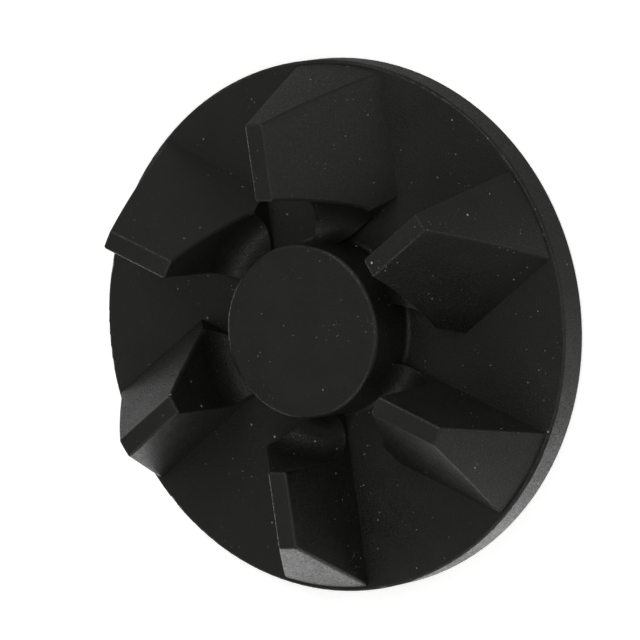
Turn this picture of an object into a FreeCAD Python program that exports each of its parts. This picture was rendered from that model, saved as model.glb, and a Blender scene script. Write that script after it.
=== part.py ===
import FreeCAD, Part
import math
import os
import Sketcher

os.makedirs("parts", exist_ok=True)
doc = FreeCAD.newDocument("jaw_coupling")

# ---------------------------------------------------------------------------
# Driving dimensions (millimetres and degrees).  Everything else is worked out.
# The frame: +Z is the axis, from the flat back face towards the jaw tips.
# The origin is the middle of the back face.  The first jaw points along +Y.
# ---------------------------------------------------------------------------
DRIVING = [
    ("disc_diameter", 45.0),        # outside of the rubber disc
    ("rim_thickness", 3.0),         # back face to the floor between the jaws
    ("rim_edge_radius", 0.25),      # rounding on the front edge of the rim
    ("back_edge_radius", 0.15),     # rounding on the back edge of the rim
    ("jaw_height", 10.05),          # floor to the flat land on top of a jaw
    ("land_width", 1.65),           # narrow flat land along the top of a jaw
    ("drive_draft", 2.0),           # lean of the driving flank from the axis
    ("ramp_angle", 31.4),           # lean of the sloping flank from the axis
    ("tip_radius", 17.75),          # axis to the outer end of the land
    ("bevel_foot_radius", 22.15),   # axis to the outer bevel at floor level
    ("jaw_inner_radius", 11.3),     # axis to the inner end of a jaw
    ("slot_width", 4.7),            # flat floor kept beside each driving flank
    ("jaw_edge_radius", 0.25),      # rounding along the edges of a jaw
    ("web_rise", 0.4),              # channel bottom above the floor
    ("hub_cove_radius", 1.6),       # channel cove on the hub side
    ("hub_diameter", 14.7),         # centre boss
    ("hub_height", 5.1),            # floor to the top of the boss
    ("hub_edge_radius", 0.35),      # rounding on the top edge of the boss
    ("hub_base_radius", 0.4),       # small fillet where the boss meets the floor
    ("plate_diameter", 36.0),       # steel plate bonded into the back
    ("plate_thickness", 1.0),
    ("key_hole_diameter", 4.0),     # holes in the plate that the rubber fills
    ("key_circle_radius", 13.0),
    ("bush_diameter", 11.0),        # turned steel bush inside the boss
    ("bush_top", 6.8),              # back face to the buried end of the bush
    ("bush_edge_chamfer", 0.5),
    ("neck_diameter", 9.6),         # waist in the bush that the rubber grips
    ("neck_bottom", 3.4),
    ("neck_width", 1.2),
    ("spigot_across_flats", 9.5),   # hexagon swaged into the plate
    ("thread_wall_diameter", 6.9),  # tapping size of a 5/16 inch 24 per inch thread
    ("thread_depth", 5.6),          # blind, with a flat bottom
    ("thread_entry_chamfer", 0.55),
]

# Sizes worked out from the driving ones, written as sheet formulas.
WORKED_OUT = [
    ("disc_radius", "disc_diameter / 2"),
    ("floor_height", "rim_thickness"),
    ("jaw_top", "rim_thickness + jaw_height"),
    ("root_height", "rim_thickness - 0.35"),
    ("drive_run", "jaw_height * tan(drive_draft * 1deg)"),
    ("land_far_side", "drive_run + land_width"),
    ("ramp_foot", "land_far_side + jaw_height * tan(ramp_angle * 1deg)"),
    ("bevel_slope", "(bevel_foot_radius - tip_radius) / jaw_height"),
    ("cut_top", "jaw_top + 1"),
    ("cut_radius", "disc_radius + 3"),
    ("bevel_root_radius", "bevel_foot_radius + (rim_thickness - root_height) * bevel_slope"),
    ("bevel_cut_radius", "tip_radius - (cut_top - jaw_top) * bevel_slope"),
    ("hub_radius", "hub_diameter / 2"),
    ("hub_top", "rim_thickness + hub_height"),
    ("channel_height", "rim_thickness + web_rise"),
    ("hub_cove_outer", "hub_radius + hub_cove_radius"),
    ("hub_cove_top", "channel_height + hub_cove_radius"),
    ("jaw_cove_radius", "jaw_inner_radius - hub_cove_outer"),
    ("jaw_cove_top", "channel_height + jaw_cove_radius"),
    ("hub_foot_radius", "hub_radius + hub_base_radius"),
    ("hub_foot_top", "rim_thickness + hub_base_radius"),
    ("hub_shoulder", "hub_top - hub_edge_radius"),
    ("hub_flat_radius", "hub_radius - hub_edge_radius"),
    ("hub_root", "rim_thickness / 2"),
    ("rim_shoulder", "rim_thickness - rim_edge_radius"),
    ("rim_flat_radius", "disc_radius - rim_edge_radius"),
    ("back_flat_radius", "disc_radius - back_edge_radius"),
    ("slot_start", "hub_radius - 2.5"),
    ("slot_end", "disc_radius + 1"),
    ("slot_cut_height", "jaw_height + 1"),
    ("plate_radius", "plate_diameter / 2"),
    ("key_hole_radius", "key_hole_diameter / 2"),
    ("bush_radius", "bush_diameter / 2"),
    ("bush_chamfer_start", "bush_top - bush_edge_chamfer"),
    ("bush_top_flat", "bush_radius - bush_edge_chamfer"),
    ("neck_radius", "neck_diameter / 2"),
    ("neck_top", "neck_bottom + neck_width"),
    ("spigot_corner", "spigot_across_flats / 2 / cos(30deg)"),
    ("spigot_half_corner", "spigot_corner / 2"),
    ("spigot_half_flats", "spigot_across_flats / 2"),
    ("thread_radius", "thread_wall_diameter / 2"),
    ("thread_mouth_radius", "thread_radius + thread_entry_chamfer"),
]

JAW_COUNT = 6
TINY = 1e-3

sheet = doc.addObject("Spreadsheet::Sheet", "size")
for row, (name, value) in enumerate(DRIVING + WORKED_OUT, start=1):
    sheet.set("A%d" % row, name)
    text = str(value) if isinstance(value, float) else "=" + value
    sheet.set("B%d" % row, text)
    sheet.setAlias("B%d" % row, name)
doc.recompute()


def size(name):
    """Value of one named size, in millimetres or degrees."""
    return float(getattr(sheet, name))


def new_body(label):
    body = doc.addObject("PartDesign::Body", label)
    body.Label = label
    return body


def origin_item(body, role):
    """The body's own origin plane or axis with this role."""
    return [item for item in body.Origin.OriginFeatures if item.Role == role][0]


def new_sketch(body, name, plane_role, height=None):
    """An empty sketch on one of the body's origin planes, raised by a named size."""
    sketch = body.newObject("Sketcher::SketchObject", name)
    sketch.AttachmentSupport = (origin_item(body, plane_role), [""])
    sketch.MapMode = "FlatFace"
    if height is not None:
        sketch.setExpression(".AttachmentOffset.Base.z", "size." + height)
    doc.recompute()
    return sketch


def signed_size(name):
    """Value of a size name that may carry a leading minus; 0 means the axis."""
    if name == 0:
        return 0.0
    return -size(name[1:]) if name.startswith("-") else size(name)


def quarter_arc(start, end, centre):
    """The shorter arc from start to end about centre, and whether it runs clockwise."""
    radius = math.dist(start, centre)
    first = math.atan2(start[1] - centre[1], start[0] - centre[0])
    last = math.atan2(end[1] - centre[1], end[0] - centre[0])
    turn = (last - first + math.pi) % (2 * math.pi) - math.pi
    middle = FreeCAD.Vector(centre[0], centre[1], 0)
    circle = Part.Circle(middle, FreeCAD.Vector(0, 0, 1), radius)
    if turn > 0:
        return Part.ArcOfCircle(circle, first, last), False
    return Part.ArcOfCircle(circle, last, first), True


def draw_outline(sketch, corners, arcs=None):
    """Closed outline through named corners.

    arcs maps a corner number to (radius name, centre x name, centre y name) for
    the arc that leads from that corner to the next.
    """
    arcs = arcs or {}
    points = [(signed_size(x), signed_size(y)) for x, y in corners]
    count = len(points)
    starts = []
    ends = []
    for i in range(count):
        here = points[i]
        there = points[(i + 1) % count]
        if i in arcs:
            centre = (signed_size(arcs[i][1]), signed_size(arcs[i][2]))
            shape, clockwise = quarter_arc(here, there, centre)
        else:
            shape = Part.LineSegment(FreeCAD.Vector(*here, 0), FreeCAD.Vector(*there, 0))
            clockwise = False
        edge = sketch.addGeometry(shape, False)
        starts.append((edge, 2 if clockwise else 1))
        ends.append((edge, 1 if clockwise else 2))
    for i in range(count):
        edge, point = starts[(i + 1) % count]
        joined = Sketcher.Constraint("Coincident", ends[i][0], ends[i][1], edge, point)
        sketch.addConstraint(joined)
    for i, (x_name, y_name) in enumerate(corners):
        edge, point = starts[i]
        pin_corner(sketch, edge, point, x_name, y_name)
    for i, (radius_name, _, _) in arcs.items():
        edge = starts[i][0]
        index = sketch.addConstraint(Sketcher.Constraint("Radius", edge, size(radius_name)))
        sketch.setExpression("Constraints[%d]" % index, "size." + radius_name)
    doc.recompute()


def pin_corner(sketch, edge, point, x_name, y_name):
    """Holds one end of an edge at two named sizes from the sketch origin."""
    for kind, name, axis in (("DistanceX", x_name, -2), ("DistanceY", y_name, -1)):
        if name == 0:
            sketch.addConstraint(Sketcher.Constraint("PointOnObject", edge, point, axis))
            continue
        constraint = Sketcher.Constraint(kind, -1, 1, edge, point, signed_size(name))
        index = sketch.addConstraint(constraint)
        sign = "-" if name.startswith("-") else ""
        sketch.setExpression("Constraints[%d]" % index, sign + "size." + name.lstrip("-"))


def draw_circle(sketch, radius_name, x_name=0, y_name=0):
    centre = FreeCAD.Vector(signed_size(x_name), signed_size(y_name), 0)
    circle = Part.Circle(centre, FreeCAD.Vector(0, 0, 1), size(radius_name))
    edge = sketch.addGeometry(circle, False)
    pin_corner(sketch, edge, 3, x_name, y_name)
    index = sketch.addConstraint(Sketcher.Constraint("Radius", edge, size(radius_name)))
    sketch.setExpression("Constraints[%d]" % index, "size." + radius_name)
    doc.recompute()


def turned(body, sketch, name, kind="PartDesign::Revolution"):
    """Revolves a sketch once round Z, adding (Revolution) or cutting (Groove)."""
    feature = body.newObject(kind, name)
    feature.Profile = sketch
    feature.ReferenceAxis = (sketch, ["V_Axis"])
    feature.Angle = 360.0
    sketch.Visibility = False
    doc.recompute()
    return feature


def raised(body, sketch, name, length_name, kind="PartDesign::Pad", reverse=False):
    """Pads or pockets a sketch over a named length."""
    feature = body.newObject(kind, name)
    feature.Profile = sketch
    feature.Length = size(length_name)
    feature.setExpression("Length", "size." + length_name)
    feature.Reversed = reverse
    sketch.Visibility = False
    doc.recompute()
    return feature


def round_the_axis(body, feature, name, count=JAW_COUNT):
    """Repeats one feature evenly about Z."""
    pattern = body.newObject("PartDesign::PolarPattern", name)
    pattern.Originals = [feature]
    pattern.Axis = (origin_item(body, "Z_Axis"), [""])
    pattern.Angle = 360.0
    pattern.Occurrences = count
    body.Tip = pattern
    doc.recompute()
    return pattern


def radius_of(point):
    return math.hypot(point.x, point.y)


def upright(points):
    return math.hypot(points[0].x - points[1].x, points[0].y - points[1].y) < TINY


def jaw_edges(shape):
    """Names of the edges to round: the lands, and the jaw corners above the cove."""
    names = []
    for number, edge in enumerate(shape.Edges, start=1):
        points = [vertex.Point for vertex in edge.Vertexes]
        if len(points) < 2:
            continue
        lowest = min(point.z for point in points)
        highest = max(point.z for point in points)
        on_land = lowest > size("jaw_top") - TINY
        on_bevel = highest > size("jaw_top") - TINY and max(map(radius_of, points)) > (
            size("tip_radius") + size("jaw_edge_radius"))
        on_inner_end = not upright(points) and lowest > size("jaw_cove_top") - TINY and all(
            abs(radius_of(point) - size("jaw_inner_radius")) < TINY for point in points)
        if on_land or on_bevel or on_inner_end:
            names.append("Edge%d" % number)
    return names


# ---------------------------------------------------------------------------
# Rubber moulding: disc, six jaws and closed centre boss in one piece
# ---------------------------------------------------------------------------
def make_jaw_disc():
    body = new_body("jaw_disc")

    # One jaw: upright driving flank on the left, narrow land, sloping flank.
    section = new_sketch(body, "jaw_section", "XZ_Plane")
    draw_outline(section, [
        (0, "root_height"),
        ("ramp_foot", "root_height"),
        ("ramp_foot", "floor_height"),
        ("land_far_side", "jaw_top"),
        ("drive_run", "jaw_top"),
        (0, "floor_height"),
    ])
    jaw = raised(body, section, "jaw", "disc_radius", reverse=True)
    round_the_axis(body, jaw, "jaws")

    # The outer ends of all jaws lie on one cone.
    bevel = new_sketch(body, "outer_bevel", "XZ_Plane")
    draw_outline(bevel, [
        ("bevel_root_radius", "root_height"),
        ("cut_radius", "root_height"),
        ("cut_radius", "cut_top"),
        ("bevel_cut_radius", "cut_top"),
    ])
    turned(body, bevel, "outer_bevel_cut", "PartDesign::Groove")

    # Coved channel between the boss and the inner ends of the jaws.
    channel = new_sketch(body, "inner_channel", "XZ_Plane")
    draw_outline(channel, [
        (0, "hub_cove_top"),
        ("hub_radius", "hub_cove_top"),
        ("hub_cove_outer", "channel_height"),
        ("jaw_inner_radius", "jaw_cove_top"),
        ("jaw_inner_radius", "cut_top"),
        (0, "cut_top"),
    ], {
        1: ("hub_cove_radius", "hub_cove_outer", "hub_cove_top"),
        2: ("jaw_cove_radius", "hub_cove_outer", "jaw_cove_top"),
    })
    turned(body, channel, "inner_channel_cut", "PartDesign::Groove")

    # The disc itself, with rounded rim edges.
    disc = new_sketch(body, "disc_section", "XZ_Plane")
    draw_outline(disc, [
        (0, 0),
        ("back_flat_radius", 0),
        ("disc_radius", "back_edge_radius"),
        ("disc_radius", "rim_shoulder"),
        ("rim_flat_radius", "floor_height"),
        (0, "floor_height"),
    ], {
        1: ("back_edge_radius", "back_flat_radius", "back_edge_radius"),
        3: ("rim_edge_radius", "rim_flat_radius", "rim_shoulder"),
    })
    turned(body, disc, "disc")

    # A straight strip of flat floor runs beside every driving flank to the boss.
    strip = new_sketch(body, "floor_strip", "XY_Plane", "floor_height")
    draw_outline(strip, [
        ("-slot_width", "slot_start"),
        (0, "slot_start"),
        (0, "slot_end"),
        ("-slot_width", "slot_end"),
    ])
    strip_cut = raised(body, strip, "floor_strip_cut", "slot_cut_height",
                       "PartDesign::Pocket", reverse=True)
    round_the_axis(body, strip_cut, "floor_strips")

    # Closed boss over the bush.
    boss = new_sketch(body, "boss_section", "XZ_Plane")
    draw_outline(boss, [
        (0, "hub_root"),
        ("hub_foot_radius", "hub_root"),
        ("hub_foot_radius", "floor_height"),
        ("hub_radius", "hub_foot_top"),
        ("hub_radius", "hub_shoulder"),
        ("hub_flat_radius", "hub_top"),
        (0, "hub_top"),
    ], {
        2: ("hub_base_radius", "hub_foot_radius", "hub_foot_top"),
        4: ("hub_edge_radius", "hub_flat_radius", "hub_shoulder"),
    })
    turned(body, boss, "boss")

    # Space filled by the plate and the bush.
    seat = new_sketch(body, "insert_seat", "XZ_Plane")
    draw_outline(seat, [
        (0, 0),
        ("plate_radius", 0),
        ("plate_radius", "plate_thickness"),
        ("bush_radius", "plate_thickness"),
        ("bush_radius", "neck_bottom"),
        ("neck_radius", "neck_bottom"),
        ("neck_radius", "neck_top"),
        ("bush_radius", "neck_top"),
        ("bush_radius", "bush_chamfer_start"),
        ("bush_top_flat", "bush_top"),
        (0, "bush_top"),
    ])
    turned(body, seat, "insert_seat_cut", "PartDesign::Groove")

    # Soft moulded edges on the jaws.
    sharp = body.Tip
    softened = body.newObject("PartDesign::Fillet", "jaw_edge_rounding")
    softened.Base = (sharp, jaw_edges(sharp.Shape))
    softened.Radius = size("jaw_edge_radius")
    softened.setExpression("Radius", "size.jaw_edge_radius")
    doc.recompute()

    # Rubber keys that grew through the holes of the plate.
    key = new_sketch(body, "key", "XY_Plane")
    draw_circle(key, "key_hole_radius", 0, "key_circle_radius")
    peg = raised(body, key, "rubber_key", "plate_thickness")
    round_the_axis(body, peg, "rubber_keys")
    return body


# ---------------------------------------------------------------------------
# Turned steel bush with the blind thread
# ---------------------------------------------------------------------------
def make_threaded_bush():
    body = new_body("threaded_bush")
    barrel = new_sketch(body, "barrel", "XZ_Plane")
    draw_outline(barrel, [
        (0, "plate_thickness"),
        ("bush_radius", "plate_thickness"),
        ("bush_radius", "neck_bottom"),
        ("neck_radius", "neck_bottom"),
        ("neck_radius", "neck_top"),
        ("bush_radius", "neck_top"),
        ("bush_radius", "bush_chamfer_start"),
        ("bush_top_flat", "bush_top"),
        (0, "bush_top"),
    ])
    turned(body, barrel, "turned_barrel")

    hexagon = new_sketch(body, "spigot", "XY_Plane")
    draw_outline(hexagon, [
        ("spigot_corner", 0),
        ("spigot_half_corner", "spigot_half_flats"),
        ("-spigot_half_corner", "spigot_half_flats"),
        ("-spigot_corner", 0),
        ("-spigot_half_corner", "-spigot_half_flats"),
        ("spigot_half_corner", "-spigot_half_flats"),
    ])
    raised(body, hexagon, "hex_spigot", "plate_thickness")

    hole = new_sketch(body, "thread_hole", "XZ_Plane")
    draw_outline(hole, [
        (0, 0),
        ("thread_mouth_radius", 0),
        ("thread_radius", "thread_entry_chamfer"),
        ("thread_radius", "thread_depth"),
        (0, "thread_depth"),
    ])
    turned(body, hole, "thread_hole_cut", "PartDesign::Groove")
    return body


# ---------------------------------------------------------------------------
# Stamped steel plate that spreads the torque into the rubber
# ---------------------------------------------------------------------------
def make_torque_plate():
    body = new_body("torque_plate")
    blank = new_sketch(body, "blank", "XY_Plane")
    draw_circle(blank, "plate_radius")
    draw_outline(blank, [
        ("spigot_corner", 0),
        ("spigot_half_corner", "spigot_half_flats"),
        ("-spigot_half_corner", "spigot_half_flats"),
        ("-spigot_corner", 0),
        ("-spigot_half_corner", "-spigot_half_flats"),
        ("spigot_half_corner", "-spigot_half_flats"),
    ])
    raised(body, blank, "stamped_blank", "plate_thickness")

    hole = new_sketch(body, "key_hole", "XY_Plane")
    draw_circle(hole, "key_hole_radius", 0, "key_circle_radius")
    punched = raised(body, hole, "punched_hole", "plate_thickness",
                     "PartDesign::Pocket", reverse=True)
    round_the_axis(body, punched, "key_holes")
    return body


bodies = [make_jaw_disc(), make_threaded_bush(), make_torque_plate()]
doc.recompute()

for item in doc.Objects:
    bad = [state for state in item.State if state in ("Invalid", "Error")]
    if bad:
        raise RuntimeError("%s did not recompute: %s" % (item.Name, item.State))

for body in bodies:
    shape = body.Shape
    if shape.isNull() or not shape.isValid() or len(shape.Solids) != 1:
        raise RuntimeError("%s is not one valid closed solid" % body.Label)
    shape.exportStep("parts/%s.step" % body.Label)
    print(body.Label, "volume %.1f mm3" % shape.Volume, shape.BoundBox)
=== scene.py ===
"""Looks for the jaw coupling half: rubber, steel, thread, floor, lights and camera."""

import math

import bpy
import numpy as np
from mathutils import Matrix, Vector


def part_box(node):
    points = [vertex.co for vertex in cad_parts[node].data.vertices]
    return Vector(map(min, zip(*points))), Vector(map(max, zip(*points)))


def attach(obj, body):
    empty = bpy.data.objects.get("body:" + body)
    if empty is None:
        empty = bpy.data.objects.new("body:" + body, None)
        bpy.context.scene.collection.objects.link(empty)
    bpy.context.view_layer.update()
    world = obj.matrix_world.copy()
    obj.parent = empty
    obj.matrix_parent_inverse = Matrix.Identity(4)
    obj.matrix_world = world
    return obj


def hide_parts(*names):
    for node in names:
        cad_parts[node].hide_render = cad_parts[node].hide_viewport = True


bl_info = {
    "name": "Jaw coupling looks",
    "version": (1, 0, 0),
    "blender": (4, 5, 0),
    "location": "View3D > Sidebar > Coupling",
    "description": "Finishes a rubber jaw coupling half and sets the studio around it",
    "category": "Object",
}

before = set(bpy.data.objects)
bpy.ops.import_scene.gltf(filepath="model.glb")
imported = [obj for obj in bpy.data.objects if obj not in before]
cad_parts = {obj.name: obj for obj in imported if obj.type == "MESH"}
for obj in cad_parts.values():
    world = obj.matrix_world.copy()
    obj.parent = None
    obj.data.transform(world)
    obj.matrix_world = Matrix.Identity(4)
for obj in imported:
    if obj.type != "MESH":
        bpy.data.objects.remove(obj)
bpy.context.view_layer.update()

MM = 0.001
INCH = 0.0254

# Real sizes of the bush, in metres.  They match the CAD solid it stands for.
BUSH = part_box("threaded_bush")
BUSH_TOP = BUSH[1][2]
BUSH_RADIUS = BUSH[1][0]
SPIGOT_FLAT = 4.75 * MM      # axis to a flat of the hexagon
SPIGOT_HEIGHT = 1.0 * MM
SPIGOT_BREAK = 0.08 * MM     # broken edge round the hexagon's face
NECK_RADIUS = 4.8 * MM
NECK_BOTTOM = 3.4 * MM
NECK_TOP = 4.6 * MM
BORE_RADIUS = 3.45 * MM      # crests of the thread
BORE_DEPTH = 5.6 * MM
BORE_CHAMFER = 0.55 * MM
TOP_CHAMFER = 0.5 * MM
EDGE_BREAK = 0.05 * MM       # broken edge on the turned body
MOUTH_BREAK = 0.06 * MM      # broken edge round the thread's mouth
THREAD_MAJOR = 5 / 32 * INCH
THREAD_PITCH = INCH / 24
THREAD_RUN_OUT = 0.9         # length of the blind end's fade, in pitches
THREAD_SLOPE = 3.3           # rise of a flank over one pitch, in thread depths
THREAD_PEAK = 1.55           # height that the V would reach uncut, in thread depths
BUSH_SHARP = 28              # degrees between two faces, above which their edge stays sharp

# Sizes of the marks on each material, in metres.
BLOOM_CLOUD = 4 * MM         # a cloud of wax bloomed out of the rubber
FLOW_WAVE = 3 * MM           # unevenness left where the rubber flowed
SCUFF_SIZE = (5 * MM, 0.13 * MM, 0.9 * MM)
SPECK_EDGE = 0.03 * MM       # soft border of a speck of dust
ROLLING_SIZE = (9 * MM, 0.09 * MM, 2 * MM)   # coarser than real lines, so that they show
SHEET_PATCH = 3 * MM         # uneven tone of the sheet's plating
SMEAR_SIZE = 1.3 * MM
SMEAR_START = 15.5 * MM      # axis to where smears of rubber begin on the sheet
SMEAR_FULL = 18.2 * MM
TOOL_FEED = 0.12 * MM        # distance between two rings left by the turning tool
BUSH_PATCH = 1.5 * MM        # uneven tone of the bush's plating
PAPER_TOOTH = 4 * MM         # coarser than real tooth, which is too fine to show
METAL_RELIEF = 0.01 * MM

# Where the camera stands, as angles round and above the part.  A least-squares fit outside this
# script gave these numbers.
CAMERA_AIM = Vector((0.958, 0.731, 6.4)) * MM
CAMERA_AZIMUTH = 92.124
CAMERA_ELEVATION = 58.2475
CAMERA_ROLL = -99.736
CAMERA_DISTANCE = 696.63 * MM
CAMERA_LENS = 467.3
CAMERA_SENSOR = 36.0

# The floor lies this far under the part, so that the two faces never fall together.
FLOOR_GAP = 0.05 * MM
FLOOR_FLAT = 1.2             # radius of the level part
FLOOR_DOME = 2.4             # radius of the backdrop's dome

# Soft square lights all round: name, turn from +X, rise above the floor, power in watts.
# The floor lets light through from beneath, as a lit table does, so the low ones graze the rim.
# A least-squares fit outside this script chose the directions and powers, and the room light's
# default.  Only the last two powers were then changed.
LIGHT_SIZE = 0.36
LIGHT_DISTANCE = 0.5
SOFT_LIGHTS = (
    ("near_side", 0, 45, 0.41),
    ("far_left", 90, 45, 0.78),
    ("right_side", 270, 45, 0.58),
    ("low_near", 0, -15, 0.31),
    ("low_far", 180, -15, 0.84),
    ("low_far_right", 225, -15, 0.59),
    ("under_far_right", 225, -45, 0.38),
    ("under_right", 270, -45, 0.66),
    ("under_near_right", 315, -45, 0.26),
)

# A map range that eases in and out, and the colour sockets of a mix node.
EASED = {"interpolation_type": "SMOOTHSTEP"}
MIX = {"data_type": "RGBA"}
FIRST, SECOND, MIXED = 6, 7, 2


def colour(code):
    """Turns an sRGB hex code into linear red, green, blue and alpha."""
    parts = [int(code[i:i + 2], 16) / 255 for i in (1, 3, 5)]
    linear = (c / 12.92 if c <= 0.04045 else ((c + 0.055) / 1.055) ** 2.4 for c in parts)
    return tuple(linear) + (1.0,)


def add(tree, kind, settings=None, links=None):
    """Adds one node, sets its properties or inputs, and links its inputs to given outputs."""
    node = tree.nodes.new(kind)
    for name, value in (settings or {}).items():
        if isinstance(name, int) or name in node.inputs:
            node.inputs[name].default_value = value
        else:
            setattr(node, name, value)
    for name, source in (links or {}).items():
        tree.links.new(source, node.inputs[name])
    return node


def new_material(name):
    """Makes an empty node material and returns it with its tree, shader and Object coordinates."""
    material = bpy.data.materials.new(name)
    material.use_nodes = True
    tree = material.node_tree
    tree.nodes.clear()
    shader = add(tree, "ShaderNodeBsdfPrincipled")
    add(tree, "ShaderNodeOutputMaterial", links={"Surface": shader.outputs["BSDF"]})
    place = add(tree, "ShaderNodeTexCoord").outputs["Object"]
    return material, tree, shader, place


def scattered_specks(tree, place, spacing, size, power):
    """Gives up to 1 on small round specks and 0 elsewhere.

    A speck shows wherever the surface passes close to a scattered point.  Each point's reach is
    the full size times a random number raised to a power, so that most specks are tiny, and
    another random number makes some brighter than others.
    """
    point = add(tree, "ShaderNodeTexVoronoi", {"Scale": 1 / spacing}, {"Vector": place})
    chance = add(tree, "ShaderNodeSeparateColor", links={"Color": point.outputs["Color"]})
    rarity = add(tree, "ShaderNodeMath", {"operation": "POWER", 1: power},
                 {0: chance.outputs["Red"]})
    reach = add(tree, "ShaderNodeMath", {"operation": "MULTIPLY", 1: size / spacing},
                {0: rarity.outputs["Value"]})
    depth = add(tree, "ShaderNodeMath", {"operation": "SUBTRACT"},
                {0: reach.outputs["Value"], 1: point.outputs["Distance"]})
    edge = SPECK_EDGE / spacing
    spot = add(tree, "ShaderNodeMapRange", {**EASED, "From Min": -edge * 0.3, "From Max": edge},
               {"Value": depth.outputs["Value"]})
    bright = add(tree, "ShaderNodeMapRange",
                 {**EASED, "From Min": 0.35, "From Max": 1.25, "To Min": 0.07, "To Max": 0.95},
                 {"Value": chance.outputs["Green"]})
    speck = add(tree, "ShaderNodeMath", {"operation": "MULTIPLY"},
                {0: spot.outputs["Result"], 1: bright.outputs["Result"]})
    return speck.outputs["Value"]


def rubber_tone(tree, shader, place, look, cloud, wave):
    """Colours the rubber: near black, clouded with bloom, scuffed and dusty."""
    bloomed = add(tree, "ShaderNodeMapRange", {**EASED, "From Min": 0.35, "From Max": 0.68},
                  {"Value": cloud.outputs["Fac"]})
    dust = scattered_specks(tree, place, look.dust_spacing, look.dust_size, 3.0)

    # Powder is finer and closer than dust, and lies only in some patches.
    powder = scattered_specks(tree, place, look.dust_spacing * 0.42, look.dust_size * 0.6, 1.2)
    patchy = add(tree, "ShaderNodeMapRange", {**EASED, "From Min": 0.53, "From Max": 0.62},
                 {"Value": wave.outputs["Fac"]})
    powder = add(tree, "ShaderNodeMath", {"operation": "MULTIPLY"},
                 {0: powder, 1: patchy.outputs["Result"]})

    # Scuffs: noise stretched many times longer than it is wide.
    stretched = add(tree, "ShaderNodeMapping",
                    {"Rotation": (0.3, 0.2, 0.7), "Scale": [1 / size for size in SCUFF_SIZE]},
                    {"Vector": place})
    scuff = add(tree, "ShaderNodeTexNoise", {"Scale": 1.0, "Detail": 2.0, "Distortion": 0.4},
                {"Vector": stretched.outputs["Vector"]})
    scuffed = add(tree, "ShaderNodeMapRange",
                  {**EASED, "From Min": 0.7, "From Max": 0.8, "To Min": 0.0, "To Max": 0.45},
                  {"Value": scuff.outputs["Fac"]})

    tone = add(tree, "ShaderNodeMix",
               {**MIX, FIRST: (*look.rubber_colour, 1), SECOND: (*look.bloom_colour, 1)},
               {"Factor": bloomed.outputs["Result"]})
    for level, code in ((scuffed.outputs["Result"], "#2c2c2a"),
                        (powder.outputs["Value"], "#a6a7a2"), (dust, "#b4b5b0")):
        tone = add(tree, "ShaderNodeMix", {**MIX, SECOND: colour(code)},
                   {"Factor": level, FIRST: tone.outputs[MIXED]})
    tree.links.new(tone.outputs[MIXED], shader.inputs["Base Color"])


def rubber_material(look):
    """Nitrile rubber, compression moulded in a spark-eroded steel mould.

    It gives a near-black, dull face with a very fine pebble that only shows in raking light,
    a cloudy bloom, a few fine scuffs and light specks of dust.  The pebble that such a mould
    leaves is too fine to show, so it is drawn as coarse as it needs to be.
    """
    material, tree, shader, place = new_material("moulded_nitrile_rubber")
    cloud = add(tree, "ShaderNodeTexNoise",
                {"Scale": 1 / BLOOM_CLOUD, "Detail": 5.0, "Roughness": 0.6}, {"Vector": place})
    wave = add(tree, "ShaderNodeTexNoise", {"Scale": 1 / FLOW_WAVE, "Detail": 2.0},
               {"Vector": place})
    rubber_tone(tree, shader, place, look, cloud, wave)

    # Crests of the pebble are polished and its hollows are dull, which glitters in raking light.
    crest = add(tree, "ShaderNodeTexNoise",
                {"Scale": 1 / (look.grain_size * 1.1), "Detail": 1.0}, {"Vector": place})
    glitter = add(tree, "ShaderNodeMapRange",
                  {**EASED, "From Min": 0.36, "From Max": 0.64, "To Min": -0.15, "To Max": 0.15},
                  {"Value": crest.outputs["Fac"]})
    dull = add(tree, "ShaderNodeMapRange",
               {**EASED, "From Min": 0.3, "From Max": 0.7,
                "To Min": look.roughness - 0.04, "To Max": look.roughness + 0.04},
               {"Value": cloud.outputs["Fac"]})
    rough = add(tree, "ShaderNodeMath", {"operation": "ADD"},
                {0: dull.outputs["Result"], 1: glitter.outputs["Result"]})
    tree.links.new(rough.outputs["Value"], shader.inputs["Roughness"])
    shader.inputs["IOR"].default_value = 1.5
    shader.inputs["Specular IOR Level"].default_value = look.shine

    grain = add(tree, "ShaderNodeTexNoise",
                {"Scale": 1 / look.grain_size, "Detail": 1.5, "Roughness": 0.5},
                {"Vector": place})
    pit = add(tree, "ShaderNodeTexVoronoi",
              {"Scale": 1 / (look.grain_size * 1.7), "feature": "SMOOTH_F1", "Smoothness": 0.5},
              {"Vector": place})
    relief = add(tree, "ShaderNodeMath", {"operation": "MULTIPLY_ADD", 1: 0.8},
                 {0: grain.outputs["Fac"], 2: pit.outputs["Distance"]})
    fine = add(tree, "ShaderNodeBump",
               {"Strength": look.grain_strength, "Distance": look.grain_size * 0.25},
               {"Height": relief.outputs["Value"]})
    broad = add(tree, "ShaderNodeBump", {"Strength": 0.3, "Distance": 0.05 * MM},
                {"Height": wave.outputs["Fac"], "Normal": fine.outputs["Normal"]})
    tree.links.new(broad.outputs["Normal"], shader.inputs["Normal"])
    return material


def from_axis(tree, place):
    """Gives the distance from the Z axis, and the node that holds the separate coordinates."""
    apart = add(tree, "ShaderNodeSeparateXYZ", links={"Vector": place})
    flat = add(tree, "ShaderNodeCombineXYZ",
               links={"X": apart.outputs["X"], "Y": apart.outputs["Y"]})
    out = add(tree, "ShaderNodeVectorMath", {"operation": "LENGTH"}, {0: flat.outputs["Vector"]})
    return out.outputs["Value"], apart


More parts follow.
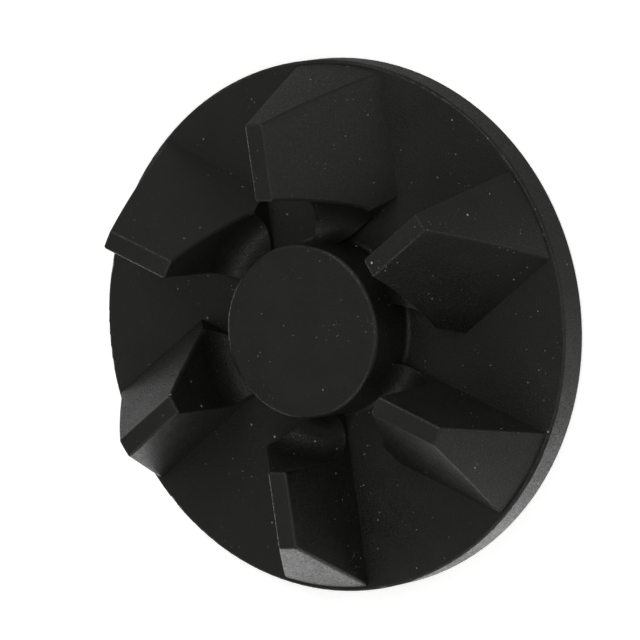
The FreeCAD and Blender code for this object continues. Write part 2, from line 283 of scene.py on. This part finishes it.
def steel_sheet_material():
    """Mild steel sheet, cold rolled, blanked and zinc plated.

    It gives a bright grey face with straight rolling lines and a thin black smear of rubber
    near the edges that the mould closed on.
    """
    material, tree, shader, place = new_material("zinc_plated_steel_sheet")
    stretched = add(tree, "ShaderNodeMapping", {"Scale": [1 / size for size in ROLLING_SIZE]},
                    {"Vector": place})
    rolled = add(tree, "ShaderNodeTexNoise", {"Scale": 1.0, "Detail": 4.0, "Roughness": 0.6},
                 {"Vector": stretched.outputs["Vector"]})
    patch = add(tree, "ShaderNodeTexNoise",
                {"Scale": 1 / SHEET_PATCH, "Detail": 5.0, "Roughness": 0.6}, {"Vector": place})
    yellowed = add(tree, "ShaderNodeMapRange",
                   {**EASED, "From Min": 0.4, "From Max": 0.75, "To Min": 0.0, "To Max": 0.5},
                   {"Value": patch.outputs["Fac"]})

    smear = add(tree, "ShaderNodeTexNoise",
                {"Scale": 1 / SMEAR_SIZE, "Detail": 6.0, "Roughness": 0.7}, {"Vector": place})
    out, _ = from_axis(tree, place)
    near_edge = add(tree, "ShaderNodeMapRange",
                    {**EASED, "From Min": SMEAR_START, "From Max": SMEAR_FULL,
                     "To Min": 0.0, "To Max": 0.34}, {"Value": out})
    gathered = add(tree, "ShaderNodeMath", {"operation": "ADD"},
                   {0: near_edge.outputs["Result"], 1: smear.outputs["Fac"]})
    smeared = add(tree, "ShaderNodeMapRange", {**EASED, "From Min": 0.72, "From Max": 0.82},
                  {"Value": gathered.outputs["Value"]})

    tone = add(tree, "ShaderNodeMix",
               {**MIX, FIRST: colour("#939597"), SECOND: colour("#c2c3c2")},
               {"Factor": rolled.outputs["Fac"]})
    for level, code in ((yellowed, "#a8a598"), (smeared, "#1b1b1b")):
        tone = add(tree, "ShaderNodeMix", {**MIX, SECOND: colour(code)},
                   {"Factor": level.outputs["Result"], FIRST: tone.outputs[MIXED]})
    tree.links.new(tone.outputs[MIXED], shader.inputs["Base Color"])
    metal = add(tree, "ShaderNodeMath", {"operation": "SUBTRACT", 0: 1.0},
                {1: smeared.outputs["Result"]})
    tree.links.new(metal.outputs["Value"], shader.inputs["Metallic"])
    rough = add(tree, "ShaderNodeMapRange",
                {**EASED, "From Min": 0.3, "From Max": 0.7, "To Min": 0.3, "To Max": 0.46},
                {"Value": patch.outputs["Fac"]})
    tree.links.new(rough.outputs["Result"], shader.inputs["Roughness"])
    lines = add(tree, "ShaderNodeBump", {"Strength": 0.25, "Distance": METAL_RELIEF},
                {"Height": rolled.outputs["Fac"]})
    tree.links.new(lines.outputs["Normal"], shader.inputs["Normal"])
    return material


def turned_steel_material():
    """Free-cutting steel bar, turned on a lathe and zinc plated.

    It gives a bright, slightly bluish grey with fine rings left by the turning tool.
    """
    material, tree, shader, place = new_material("turned_zinc_plated_steel")
    out, apart = from_axis(tree, place)
    along = add(tree, "ShaderNodeMath", {"operation": "ADD"}, {0: out, 1: apart.outputs["Z"]})
    turns = add(tree, "ShaderNodeMath", {"operation": "MULTIPLY", 1: 2 * math.pi / TOOL_FEED},
                {0: along.outputs["Value"]})
    rings = add(tree, "ShaderNodeMath", {"operation": "SINE"}, {0: turns.outputs["Value"]})
    patch = add(tree, "ShaderNodeTexNoise", {"Scale": 1 / BUSH_PATCH, "Detail": 4.0},
                {"Vector": place})
    tone = add(tree, "ShaderNodeMix",
               {**MIX, FIRST: colour("#a3a7aa"), SECOND: colour("#d0d2d1")},
               {"Factor": patch.outputs["Fac"]})
    tree.links.new(tone.outputs[MIXED], shader.inputs["Base Color"])
    shader.inputs["Metallic"].default_value = 1.0
    rough = add(tree, "ShaderNodeMapRange",
                {**EASED, "From Min": 0.3, "From Max": 0.7, "To Min": 0.22, "To Max": 0.38},
                {"Value": patch.outputs["Fac"]})
    tree.links.new(rough.outputs["Result"], shader.inputs["Roughness"])
    cut = add(tree, "ShaderNodeBump", {"Strength": 0.2, "Distance": METAL_RELIEF},
              {"Height": rings.outputs["Value"]})
    tree.links.new(cut.outputs["Normal"], shader.inputs["Normal"])
    return material


def floor_material(look):
    """Matt white paper sweep.  It gives an even pale ground that hardly shows its tooth."""
    material, tree, shader, place = new_material("matt_white_paper")
    tooth = add(tree, "ShaderNodeTexNoise", {"Scale": 1 / PAPER_TOOTH, "Detail": 2.0},
                {"Vector": place})
    tone = add(tree, "ShaderNodeMix",
               {**MIX, FIRST: colour("#f4f4f3"), SECOND: colour("#fbfbfa")},
               {"Factor": tooth.outputs["Fac"]})
    tree.links.new(tone.outputs[MIXED], shader.inputs["Base Color"])
    shader.inputs["Roughness"].default_value = 0.9
    shader.inputs["Specular IOR Level"].default_value = 0.1
    shader.inputs["Emission Color"].default_value = (1.0, 1.0, 1.0, 1.0)
    shader.inputs["Emission Strength"].default_value = look.floor_glow
    return material


def dress(node, material):
    """Gives every material slot of a CAD node one material."""
    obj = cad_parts[node]
    if not obj.material_slots:
        obj.data.materials.append(material)
    for slot in obj.material_slots:
        slot.material = material


def closed_round(points, name):
    """Makes a closed mesh from a grid of points (rows by columns by 3) that goes round the Z axis.

    The columns join up all the way round.  The first and last rows are each drawn to one point
    on the axis, which closes the two ends.
    """
    rows, columns, _ = points.shape
    inner = points[1:-1].reshape(-1, 3)
    poles = np.array([points[0].mean(axis=0), points[-1].mean(axis=0)])
    vertices = np.vstack([inner, poles])
    count = rows - 2
    row = np.arange(count - 1)[:, None]
    column = np.arange(columns)[None, :]
    after = (column + 1) % columns
    quads = np.stack([row * columns + column, row * columns + after,
                      (row + 1) * columns + after, (row + 1) * columns + column], axis=-1)
    first, last = len(inner), len(inner) + 1
    low = np.stack([np.full(columns, first), after[0], column[0]], axis=-1)
    top = (count - 1) * columns
    high = np.stack([np.full(columns, last), top + column[0], top + after[0]], axis=-1)
    mesh = bpy.data.meshes.new(name)
    faces = quads.reshape(-1, 4).tolist() + low.tolist() + high.tolist()
    mesh.from_pydata(vertices.tolist(), [], faces)
    mesh.validate()
    mesh.update()
    return mesh


def bush_surface(columns=192, thread_rows=150):
    """The bush as one surface round its axis.

    A profile runs from the middle of the bore's blind end, down the bore, over the back face,
    up the hexagon and the round body, and in to the middle of the top.  On the bore, the radius
    is the crest radius plus the thread depth times a flat-topped V wave of (height / pitch -
    turn) with its corners rounded, faded out at the blind end.  On the spigot, the radius is the
    flat's distance divided by the cosine of the angle from the nearest flat.
    """
    turn = np.linspace(0, 2 * np.pi, columns, endpoint=False)
    sixth = np.pi / 3
    hexagon = SPIGOT_FLAT / np.cos(turn % sixth - sixth / 2)

    ring = np.ones(columns)
    wall = np.linspace(BORE_DEPTH, BORE_CHAMFER, thread_rows)[:, None]
    phase = (wall / THREAD_PITCH - turn[None, :] / (2 * np.pi)) % 1.0
    groove = np.clip(THREAD_PEAK - THREAD_SLOPE * np.abs(phase - 0.5), 0, 1)
    groove = groove ** 2 * (3 - 2 * groove)
    fade = np.clip((BORE_DEPTH - wall) / (THREAD_RUN_OUT * THREAD_PITCH), 0, 1)
    bore = BORE_RADIUS + (THREAD_MAJOR - BORE_RADIUS) * groove * fade
    mouth = THREAD_MAJOR + EDGE_BREAK

    inside = [(0.0, BORE_DEPTH), (0.5 * BORE_RADIUS, BORE_DEPTH)]
    face = [(mouth, MOUTH_BREAK), (mouth + MOUTH_BREAK, 0.0)]
    spigot = [(hexagon - SPIGOT_BREAK, 0.0), (hexagon, SPIGOT_BREAK), (hexagon, SPIGOT_HEIGHT)]
    body = [
        (BUSH_RADIUS - EDGE_BREAK, SPIGOT_HEIGHT), (BUSH_RADIUS, SPIGOT_HEIGHT + EDGE_BREAK),
        (BUSH_RADIUS, NECK_BOTTOM), (NECK_RADIUS, NECK_BOTTOM), (NECK_RADIUS, NECK_TOP),
        (BUSH_RADIUS, NECK_TOP), (BUSH_RADIUS, BUSH_TOP - TOP_CHAMFER),
        (BUSH_RADIUS - TOP_CHAMFER, BUSH_TOP), (0.5 * BUSH_RADIUS, BUSH_TOP), (0.0, BUSH_TOP),
    ]
    rows = inside + list(zip(bore, wall[:, 0])) + face + spigot + body
    radii = np.array([radius * ring for radius, _ in rows])
    heights = np.array([height for _, height in rows])[:, None] * ring
    return np.stack([radii * np.cos(turn), radii * np.sin(turn), heights], axis=-1)


def sweep_surface(columns=96, rows=48):
    """The floor and backdrop: flat out to a radius, then bent up in a quarter circle into a dome.

    Along the second parameter the radius grows on the flat.  On the bend it grows by the sine of
    an angle times the bend's size, and the height by one less its cosine.  On the dome the radius
    follows the cosine and the height the sine.
    """
    turn = np.linspace(0, 2 * np.pi, columns)[None, :]
    part = np.linspace(0, 1, rows)[:, None]
    flat_share = 0.25
    rise = np.clip((part - flat_share) / (1 - flat_share), 0, 1) * np.pi / 2
    bend = FLOOR_DOME - FLOOR_FLAT
    bend_angle = np.minimum(rise * 2, np.pi / 2)
    dome_angle = (rise - np.pi / 4) * 2
    on_dome = rise > np.pi / 4
    radius = np.where(part < flat_share, part / flat_share * FLOOR_FLAT,
                      FLOOR_FLAT + bend * np.sin(bend_angle))
    radius = np.where(on_dome, FLOOR_DOME * np.cos(dome_angle), radius)
    height = np.where(on_dome, FLOOR_DOME * np.sin(dome_angle) + bend,
                      bend * (1 - np.cos(bend_angle)))
    height = height + 0 * turn - FLOOR_GAP
    return np.stack([radius * np.cos(turn), radius * np.sin(turn), height], axis=-1)


def open_sheet(points, name):
    """Makes a mesh from a grid of points (rows by columns by 3), left open at its borders."""
    rows, columns, _ = points.shape
    row = np.arange(rows - 1)[:, None]
    column = np.arange(columns - 1)[None, :]
    first = row * columns + column
    quads = np.stack([first, first + 1, first + columns + 1, first + columns], axis=-1)
    mesh = bpy.data.meshes.new(name)
    mesh.from_pydata(points.reshape(-1, 3).tolist(), [], quads.reshape(-1, 4).tolist())
    mesh.update()
    return mesh


def put(mesh, name, material, sharp=None):
    """Links a new object at the origin, with its material and smooth faces split at sharp edges."""
    mesh.materials.append(material)
    mesh.shade_smooth()
    if sharp is not None:
        mesh.set_sharp_from_angle(angle=math.radians(sharp))
    obj = bpy.data.objects.new(name, mesh)
    bpy.context.scene.collection.objects.link(obj)
    return obj


def area_light(name, turn, rise, power):
    """Adds a soft square light, turned from +X towards +Y and raised by angles in degrees."""
    lamp = bpy.data.lights.new(name, "AREA")
    lamp.size = LIGHT_SIZE
    lamp.energy = power
    obj = bpy.data.objects.new(name, lamp)
    around, above = math.radians(turn), math.radians(rise)
    way = Vector((math.cos(around) * math.cos(above), math.sin(around) * math.cos(above),
                  math.sin(above)))
    obj.location = way * LIGHT_DISTANCE
    obj.rotation_mode = "QUATERNION"
    obj.rotation_quaternion = way.to_track_quat("Z", "Y")
    bpy.context.scene.collection.objects.link(obj)


class CouplingLook(bpy.types.PropertyGroup):
    """Sizes and colours that a user would change."""

    rubber_colour: bpy.props.FloatVectorProperty(
        name="Rubber colour", description="Base colour of the moulded rubber",
        subtype="COLOR", size=3, min=0, max=1, default=colour("#121410")[:3])
    bloom_colour: bpy.props.FloatVectorProperty(
        name="Bloom colour", description="Paler cloudy colour where wax has bloomed to the surface",
        subtype="COLOR", size=3, min=0, max=1, default=colour("#171914")[:3])
    roughness: bpy.props.FloatProperty(
        name="Roughness", description="How dull the rubber is", min=0, max=1, default=0.5)
    shine: bpy.props.FloatProperty(
        name="Shine", description="Strength of the rubber's reflections",
        min=0, max=1, default=0.4)
    grain_size: bpy.props.FloatProperty(
        name="Grain size", description="Width of one grain of the moulded texture",
        unit="LENGTH", default=0.11 * MM, min=0.01 * MM, max=1 * MM)
    grain_strength: bpy.props.FloatProperty(
        name="Grain depth", description="Strength of the moulded texture",
        min=0, max=1, default=0.5)
    dust_size: bpy.props.FloatProperty(
        name="Dust size", description="Radius of the largest speck of dust",
        unit="LENGTH", default=0.12 * MM, min=0.01 * MM, max=1 * MM)
    dust_spacing: bpy.props.FloatProperty(
        name="Dust spacing", description="Distance between scattered specks of dust",
        unit="LENGTH", default=0.72 * MM, min=0.2 * MM, max=20 * MM)


class StudioLook(bpy.types.PropertyGroup):
    """Light levels that a user would change."""

    floor_glow: bpy.props.FloatProperty(
        name="Floor lift", description="Light added to the floor so that it stays pale",
        min=0, max=2, default=0.55)
    room: bpy.props.FloatProperty(
        name="Room light", description="Even light from the whole room",
        min=0, max=2, default=0.31)
    light_power: bpy.props.FloatProperty(
        name="Soft lights", description="Multiplies the power of every soft light",
        min=0, max=10, default=1.0)


class COUPLING_OT_rubber_disc(bpy.types.Operator):
    """Finishes the rubber moulding with its disc, jaws and boss"""

    bl_idname = "coupling.rubber_disc"
    bl_label = "Rubber moulding"

    def execute(self, context):
        dress("jaw_disc", rubber_material(context.scene.coupling_look))
        return {"FINISHED"}


class COUPLING_OT_torque_plate(bpy.types.Operator):
    """Finishes the stamped steel plate in the back"""

    bl_idname = "coupling.torque_plate"
    bl_label = "Steel plate"

    def execute(self, context):
        dress("torque_plate", steel_sheet_material())
        return {"FINISHED"}


class COUPLING_OT_threaded_bush(bpy.types.Operator):
    """Makes the turned bush with its cut thread in place of the plain CAD solid"""

    bl_idname = "coupling.threaded_bush"
    bl_label = "Threaded bush"

    def execute(self, context):
        mesh = closed_round(bush_surface(), "turned_bush")
        bush = put(mesh, "turned_bush", turned_steel_material(), sharp=BUSH_SHARP)
        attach(bush, "root")
        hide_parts("threaded_bush")
        return {"FINISHED"}


class COUPLING_OT_stage(bpy.types.Operator):
    """Sets the floor, the lights and the camera"""

    bl_idname = "coupling.stage"
    bl_label = "Studio"

    def execute(self, context):
        scene = context.scene
        look = scene.coupling_studio
        scene.view_settings.view_transform = "Standard"
        floor = put(open_sheet(sweep_surface(), "floor"), "floor", floor_material(look))
        floor.visible_diffuse = False
        floor.visible_glossy = False
        floor.visible_shadow = False

        world = bpy.data.worlds.new("room")
        world.use_nodes = True
        background = world.node_tree.nodes["Background"]
        background.inputs["Color"].default_value = (1, 1, 1, 1)
        background.inputs["Strength"].default_value = look.room
        scene.world = world
        for name, turn, rise, power in SOFT_LIGHTS:
            area_light(name, turn, rise, power * look.light_power)

        self.camera(scene)
        return {"FINISHED"}

    def camera(self, scene):
        """Stands the camera round and above the part, rolled about its own line of sight."""
        data = bpy.data.cameras.new("camera")
        data.lens = CAMERA_LENS
        data.sensor_width = CAMERA_SENSOR
        data.clip_start, data.clip_end = 0.01, 20.0
        around, above = math.radians(CAMERA_AZIMUTH), math.radians(CAMERA_ELEVATION)
        back = Vector((math.sin(around) * math.cos(above), -math.cos(around) * math.cos(above),
                       math.sin(above)))
        right = Vector((0, 0, 1)).cross(back).normalized()
        upright = Matrix((right, back.cross(right), back)).transposed()
        rolled = upright @ Matrix.Rotation(math.radians(CAMERA_ROLL), 3, "Z")
        obj = bpy.data.objects.new("camera", data)
        obj.matrix_world = Matrix.LocRotScale(
            CAMERA_AIM + back * CAMERA_DISTANCE, rolled.to_quaternion(), None)
        scene.collection.objects.link(obj)
        scene.camera = obj


class COUPLING_PT_panel(bpy.types.Panel):
    """Lists the pieces and the sizes that can be changed"""

    bl_label = "Jaw coupling"
    bl_idname = "COUPLING_PT_panel"
    bl_space_type = "VIEW_3D"
    bl_region_type = "UI"
    bl_category = "Coupling"

    def draw(self, context):
        for operator in PIECES:
            self.layout.operator(operator.bl_idname)
        for group in (context.scene.coupling_look, context.scene.coupling_studio):
            box = self.layout.box()
            for name in group.__annotations__:
                box.prop(group, name)


PIECES = (COUPLING_OT_rubber_disc, COUPLING_OT_torque_plate,
          COUPLING_OT_threaded_bush, COUPLING_OT_stage)
CLASSES = (CouplingLook, StudioLook) + PIECES + (COUPLING_PT_panel,)


def register():
    """Adds the classes and the scene's properties."""
    for item in CLASSES:
        bpy.utils.register_class(item)
    bpy.types.Scene.coupling_look = bpy.props.PointerProperty(type=CouplingLook)
    bpy.types.Scene.coupling_studio = bpy.props.PointerProperty(type=StudioLook)


def unregister():
    """Removes them again."""
    del bpy.types.Scene.coupling_studio
    del bpy.types.Scene.coupling_look
    for item in reversed(CLASSES):
        bpy.utils.unregister_class(item)


def main():
    """Makes every piece."""
    register()
    bpy.ops.coupling.rubber_disc()
    bpy.ops.coupling.torque_plate()
    bpy.ops.coupling.threaded_bush()
    bpy.ops.coupling.stage()


if __name__ == "__main__":
    main()
